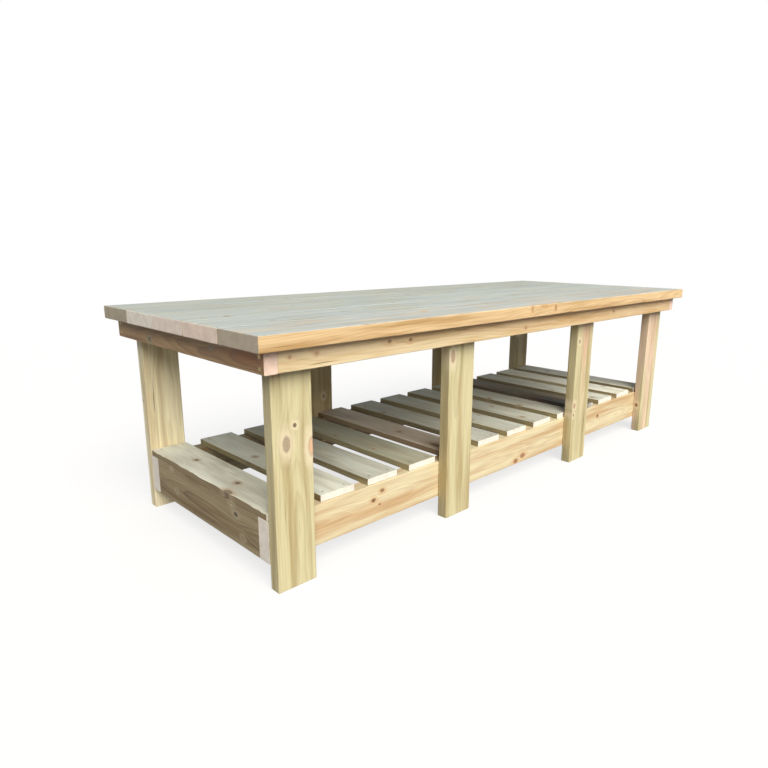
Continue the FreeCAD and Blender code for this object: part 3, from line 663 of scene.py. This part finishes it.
def timberLook(name, family, index, half):
    # family look, then seeded chance for what isn't fixed, then the timber's own entries
    chance = random.Random(chances["seed"] + chances["seedStep"] * index)
    look = dict(family)
    pithAcross, pithThrough = look["pith"]
    look["pith"] = (pithAcross + chance.uniform(*chances["pithAcross"]),
                    pithThrough * chance.uniform(*chances["pithThrough"]))
    look["slope"] = (chance.uniform(*chances["slopeAcross"]),
                     chance.uniform(*chances["slopeThrough"]) * chance.choice((-1, 1)))
    for key in ("ringWidth", "heartRadius", "weathering"):
        look[key] *= chance.uniform(*chances[key])
    look["seed"] = index * chances["noiseStep"]
    look["wane"] = 0
    reach = half[0] / millimetre - chances["endMargin"]
    aside = half[1] / millimetre - chances["sideMargin"]
    look["knotsAndShadowPatches"] = [
        ("wide", chance.uniform(-reach, reach), chance.uniform(-aside, aside),
         chance.uniform(*chances["knotRadius"]), chance.uniform(*chances["knotDarkness"]))
        for _ in range(max(2, round(reach / chances["knotSpacing"])))]
    look.update(timberLooks.get(name, {}))
    return look


# mm, apart from a share and a count; arrises at the sawn ends are sharper than the planed ones
timberFinish = {"endEase": 0.8, "easeVariation": 0.35, "surfaceDip": 0.5, "fewestPairs": 4}

timberCount = 0
for familyName, ownLook in timberFamilies.items():
    family = {**commonLook, **ownLook}
    axes = worldAxes(*family["axes"])
    for name in family["nodes"]:
        timberCount += 1
        low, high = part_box(name)
        centre = (low + high) / 2
        size = Vector([abs(axes.col[i].dot(high - low)) for i in range(3)])
        look = timberLook(name, family, timberCount, size / 2)
        pairs = [round(size[i] / millimetre / family["cell"][i] / 2) for i in range(3)]
        cells = Vector([2 * max(timberFinish["fewestPairs"], pair) for pair in pairs])
        material = treatedSoftwood("treatedSoftwood_" + name, centre, axes, size / 2, look)
        ease = Vector((timberFinish["endEase"], family["ease"], family["ease"]))
        mesh = meshFromTree(name + "_timber", timberTree, {
            "Size": size, "Cells": cells, "Ease": ease * millimetre,
            "Ease Variation": timberFinish["easeVariation"],
            "Surface Dip": timberFinish["surfaceDip"] * millimetre,
            "Wane": look["wane"] * millimetre, "Seed": look["seed"], "Centre": centre,
            "Turn": Vector(axes.to_euler()), "Material": material})
        addPiece(name + "_timber", mesh, name)
    print("timbers done:", familyName, len(family["nodes"]))

# shares of the head's radius and depth, the number of sides, and radians of chance turn
screwSizes = {"sides": 12, "recessDepth": 0.45, "recessReach": 0.55, "recessArm": 0.16,
              "recessTaper": 0.7, "easeShare": 0.08, "easeDepth": 0.06, "tipShare": 0.1,
              "spin": 6.28, "seed": 5}


def buildScrewMesh(name, headRadius, headDepth, shankRadius, length):
    # countersunk wood screw with a cross recess, head up at the origin, pointing down
    mesh = bpy.data.meshes.new(name)
    shape = bmesh.new()
    sides = screwSizes["sides"]
    arm, reach = screwSizes["recessArm"] * headRadius, screwSizes["recessReach"] * headRadius
    corner = [(reach, -arm), (reach, arm), (arm, arm)]
    outline = [(x * math.cos(q) - y * math.sin(q), x * math.sin(q) + y * math.cos(q))
               for q in (0, math.pi / 2, math.pi, 3 * math.pi / 2) for x, y in corner]
    rimStart = math.atan2(-arm, reach)
    rings = []
    profile = [
        (headRadius * (1 - screwSizes["easeShare"]), 0),
        (headRadius, -screwSizes["easeDepth"] * headDepth), (shankRadius, -headDepth),
        (shankRadius, -length + 2 * shankRadius), (shankRadius * screwSizes["tipShare"], -length)]
    for radius, z in profile:
        angles = [rimStart + 2 * math.pi * i / sides for i in range(sides)]
        rings.append([
            shape.verts.new((radius * math.cos(a), radius * math.sin(a), z)) for a in angles])
    upper = [shape.verts.new((x, y, 0)) for x, y in outline]
    taper, bottom = screwSizes["recessTaper"], -screwSizes["recessDepth"] * headDepth
    lower = [shape.verts.new((x * taper, y * taper, bottom)) for x, y in outline]
    for ringA, ringB in [*zip(rings, rings[1:]), (upper, rings[0]), (lower, upper)]:
        for i in range(sides):
            shape.faces.new((ringA[i], ringB[i], ringB[(i + 1) % sides], ringA[(i + 1) % sides]))
    shape.faces.new(lower)
    shape.faces.new(list(reversed(rings[-1])))
    bmesh.ops.recalc_face_normals(shape, faces=shape.faces)
    shape.to_mesh(mesh)
    shape.free()
    return mesh


def buildScrewTree():
    # three nested rows of points carry the screws, each turned by chance about its own axis
    tree = bpy.data.node_groups.new("screwRows", "GeometryNodeTree")
    addSockets(
        tree,
        {"Object": "Screw", "Vector": "Start, Row Step, Pair Step, Side Step, Turn",
         "Int": "Row Count, Pair Count, Side Count, Seed", "Material": "Material"},
        {"Geometry": "Screws"})
    given = addNode(tree, "NodeGroupInput").outputs
    row = addNode(tree, "GeometryNodeMeshLine", {}, {
        "Count": given["Row Count"], "Start Location": given["Start"], "Offset": given["Row Step"]})
    pair = addNode(tree, "GeometryNodeMeshLine", {}, {
        "Count": given["Pair Count"], "Offset": given["Pair Step"]})
    side = addNode(tree, "GeometryNodeMeshLine", {}, {
        "Count": given["Side Count"], "Offset": given["Side Step"]})
    rowPairs = addNode(tree, "GeometryNodeInstanceOnPoints", {}, {"Points": row, "Instance": pair})
    rowPairsReal = addNode(tree, "GeometryNodeRealizeInstances", {}, [rowPairs])
    allSides = addNode(tree, "GeometryNodeInstanceOnPoints", {}, {
        "Points": rowPairsReal, "Instance": side})
    allPoints = addNode(tree, "GeometryNodeRealizeInstances", {}, [allSides])
    screw = addNode(tree, "GeometryNodeObjectInfo", {"transform_space": "ORIGINAL"}, {
        "Object": given["Screw"]})
    spin = addNode(tree, "FunctionNodeRandomValue", {"data_type": "FLOAT"}, {
        "Max": screwSizes["spin"], "Seed": given["Seed"]})
    spinEuler = addNode(tree, "CombineXYZ", {}, {"Z": spin})
    spinTurn = addNode(tree, "FunctionNodeEulerToRotation", {}, [spinEuler])
    headTurn = addNode(tree, "FunctionNodeEulerToRotation", {}, [given["Turn"]])
    wholeTurn = addNode(tree, "FunctionNodeRotateRotation", {"rotation_space": "LOCAL"}, {
        "Rotation": headTurn, "Rotate By": spinTurn})
    driven = addNode(tree, "GeometryNodeInstanceOnPoints", {}, {
        "Points": allPoints, "Instance": screw.outputs["Geometry"], "Rotation": wholeTurn})
    real = addNode(tree, "GeometryNodeRealizeInstances", {}, [driven])
    finished = addNode(tree, "GeometryNodeSetMaterial", {}, {
        "Geometry": real, "Material": given["Material"]})
    addNode(tree, "NodeGroupOutput", {}, {"Screws": finished})
    return tree


zincLook = {"cloudScale": 500.0, "straw": "#c9b273", "worn": "#8f8a78", "shiny": 0.3, "dull": 0.6,
            "bump": 0.3, "bumpHeight": 0.1}  # clouds 2 mm wide, bump height in mm


def zincedSteel(name):
    # yellow-passivated zinc on steel: a dull straw-gold metal with cloudy patches
    material = bpy.data.materials.new(name)
    tree = emptyTree(material)
    place = addNode(tree, "TexCoord").outputs["Object"]
    cloud = addNode(tree, "TexNoise", {}, {
        "Vector": place, "Scale": zincLook["cloudScale"], "Detail": 3.0})
    tone = addNode(tree, "Mix", colourMix, {
        "Factor": cloud, "A": linearColour(zincLook["straw"]), "B": linearColour(zincLook["worn"])})
    dull = addNode(tree, "MapRange", {}, {
        "Value": cloud, "To Min": zincLook["shiny"], "To Max": zincLook["dull"]})
    bump = addNode(tree, "Bump", {}, {
        "Strength": zincLook["bump"], "Distance": zincLook["bumpHeight"] * millimetre,
        "Height": cloud})
    shader = addNode(tree, "BsdfPrincipled", {}, {
        "Base Color": tone, "Metallic": 1.0, "Roughness": dull, "Normal": bump})
    addNode(tree, "OutputMaterial", {}, {"Surface": shader})
    return material


screwTree = buildScrewTree()
screwZinc = zincedSteel("yellowZincedSteel")


def driveScrews(name, node, sizes, length, runs):
    # one piece from several runs of rows; the loose screw that is repeated is thrown away after
    radii = [sizes[key] * millimetre for key in ("headRadius", "headDepth", "shankRadius")]
    pattern = addObject(name + "_pattern", buildScrewMesh(name + "_pattern", *radii, length))
    joined = bmesh.new()
    for run in runs:
        part = meshFromTree(name + "_run", screwTree, {
            "Screw": pattern, "Material": screwZinc, "Seed": screwSizes["seed"], **run})
        joined.from_mesh(part)
        bpy.data.meshes.remove(part)
    bpy.data.objects.remove(pattern)
    mesh = bpy.data.meshes.new(name)
    joined.to_mesh(mesh)
    joined.free()
    mesh.materials.append(screwZinc)
    addPiece(name, mesh, node)


slatScrew = {"headRadius": 4.0, "headDepth": 2.6, "shankRadius": 2.2, "slats": 13}
apronScrew = {"headRadius": 6.0, "headDepth": 4.0, "shankRadius": 3.0, "length": 95}

slatScrewLow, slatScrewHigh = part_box("slat_screws")
firstLow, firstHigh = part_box("shelf_slat_01")
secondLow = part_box("shelf_slat_02")[0]
headRadius = slatScrew["headRadius"] * millimetre
pairStep = firstLow.x + firstHigh.x - 2 * (slatScrewLow.x + headRadius)
sideStep = slatScrewHigh.y - slatScrewLow.y - 2 * headRadius
driveScrews(
    "slatScrewHeads", "slat_screws", slatScrew, slatScrewHigh.z - slatScrewLow.z,
    [{"Start": Vector((slatScrewLow.x + headRadius, slatScrewLow.y + headRadius, slatScrewHigh.z)),
      "Row Step": Vector((secondLow.x - firstLow.x, 0, 0)), "Row Count": slatScrew["slats"],
      "Pair Step": Vector((pairStep, 0, 0)), "Pair Count": 2,
      "Side Step": Vector((0, sideStep, 0)), "Side Count": 2, "Turn": Vector((0, 0, 0))}])

apronScrewLow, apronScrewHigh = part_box("apron_corner_screws")
longLow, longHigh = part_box("apron_front")
headRadius = apronScrew["headRadius"] * millimetre
cornerY = (longLow.y + longHigh.y) / 2
pairStep = apronScrewHigh.z - apronScrewLow.z - 2 * headRadius
driveScrews(
    "apronScrewHeads", "apron_corner_screws", apronScrew, apronScrew["length"] * millimetre,
    [{"Start": Vector((x, cornerY, apronScrewLow.z + headRadius)),
      "Row Step": Vector((0, -2 * cornerY, 0)), "Row Count": 2,
      "Pair Step": Vector((0, 0, pairStep)), "Pair Count": 2,
      "Side Step": Vector((0, 0, 0)), "Side Count": 1, "Turn": Vector((0, turn, 0))}
     for x, turn in ((apronScrewLow.x, -math.pi / 2), (apronScrewHigh.x, math.pi / 2))])

# the other screws keep their own shape
for name in ("top_screws", "bearer_screws", "leg_apron_screws", "leg_rail_screws",
             "rail_corner_screws"):
    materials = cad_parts[name].data.materials
    materials.clear()
    materials.append(screwZinc)
print("screws done")

# metres and degrees
studio = {
    "floorHalf": 40.0, "floorGap": 0.0005, "floorColour": "#f1f0ec", "floorGlow": 0.75,
    "fadeFrom": 2.5, "fadeTo": 9.0, "skyColour": "#e6edf5", "skyStrength": 0.38,
    "groundColour": "#c9c1ae", "groundStrength": 0.16, "horizonSoft": 0.12,
    "backdrop": "#ffffff", "keyColour": "#fffaf2", "keyStrength": 4.4, "keyAngle": 50.0,
    "keyAside": 20.0, "keyHeight": 42.0}

floorMesh = bpy.data.meshes.new("studioFloor")
corners = [(studio["floorHalf"] * x, studio["floorHalf"] * y, cadLow.z - studio["floorGap"])
           for x, y in ((-1, -1), (1, -1), (1, 1), (-1, 1))]
floorMesh.from_pydata(corners, [], [(0, 1, 2, 3)])
floor = addObject("studioFloor", floorMesh)
# the pale floor doesn't light the bench from below; the world's dim lower half does
floor.visible_diffuse = False

# matt studio paper: pale, catches a soft shadow near the bench and fades into the backdrop far away
floorPaper = bpy.data.materials.new("mattStudioPaper")
tree = emptyTree(floorPaper)
place = addNode(tree, "TexCoord").outputs["Object"]
away = addNode(tree, "VectorMath", "LENGTH", [place])
fade = addNode(tree, "MapRange", smoothly, {
    "Value": away.outputs["Value"], "From Min": studio["fadeFrom"], "From Max": studio["fadeTo"],
    "To Min": studio["floorGlow"], "To Max": 1.0})
matt = addNode(tree, "BsdfDiffuse", {}, {"Color": linearColour(studio["floorColour"])})
glow = addNode(tree, "Emission", {}, {"Color": linearColour(studio["backdrop"]), "Strength": 1.0})
mixed = addNode(tree, "MixShader", {}, [fade, matt, glow])
addNode(tree, "OutputMaterial", {}, {"Surface": mixed})
floorMesh.materials.append(floorPaper)

world = bpy.data.worlds.new("softStudio")
bpy.context.scene.world = world
tree = emptyTree(world)
direction = addNode(tree, "TexCoord").outputs["Generated"]
height = addNode(tree, "SeparateXYZ", {}, [direction])
aboveGround = addNode(tree, "MapRange", smoothly, {
    "Value": height.outputs["Z"], "From Min": -studio["horizonSoft"],
    "From Max": studio["horizonSoft"]})
sky = addNode(tree, "Background", {}, {
    "Color": linearColour(studio["skyColour"]), "Strength": studio["skyStrength"]})
ground = addNode(tree, "Background", {}, {
    "Color": linearColour(studio["groundColour"]), "Strength": studio["groundStrength"]})
dome = addNode(tree, "MixShader", {}, [aboveGround, ground, sky])
backdrop = addNode(tree, "Background", {}, {
    "Color": linearColour(studio["backdrop"]), "Strength": 1.0})
path = addNode(tree, "LightPath")
seen = addNode(tree, "MixShader", {}, [path.outputs["Is Camera Ray"], dome, backdrop])
addNode(tree, "OutputWorld", {}, {"Surface": seen})

keyData = bpy.data.lights.new("key", "SUN")
keyData.energy = studio["keyStrength"]
keyData.color = linearColour(studio["keyColour"])[:3]
keyData.angle = math.radians(studio["keyAngle"])
key = addObject("key", keyData)
aside, lift = math.radians(studio["keyAside"]), math.radians(studio["keyHeight"])
level = math.cos(lift)
shine = Vector((math.sin(aside) * level, math.cos(aside) * level, -math.sin(lift)))
key.rotation_mode = "QUATERNION"
key.rotation_quaternion = shine.to_track_quat("-Z", "Y")
print("floor and light done")

# lens and sensor in mm; place in mm from the box's front left lower corner; angles in degrees
view = {
    "sensor": 36, "lens": 28.58, "place": (-841.2, -1382.2, 1052.1), "yaw": 44.73, "pitch": 13.48,
    "roll": 0.40, "shiftX": -0.0232, "shiftY": 0.0099, "farthest": 200}
cameraData = bpy.data.cameras.new("camera")
cameraData.sensor_width = view["sensor"]
cameraData.lens = view["lens"]
cameraData.shift_x, cameraData.shift_y = view["shiftX"], view["shiftY"]
cameraData.clip_end = view["farthest"]
camera = addObject("camera", cameraData)
turn = (Matrix.Rotation(-math.radians(view["yaw"]), 4, "Z")
        @ Matrix.Rotation(math.radians(90 - view["pitch"]), 4, "X")
        @ Matrix.Rotation(math.radians(view["roll"]), 4, "Z"))
camera.matrix_world = Matrix.Translation(cadLow + Vector(view["place"]) * millimetre) @ turn
bpy.context.scene.camera = camera
bpy.context.scene.view_settings.view_transform = "Standard"

print("scene done")
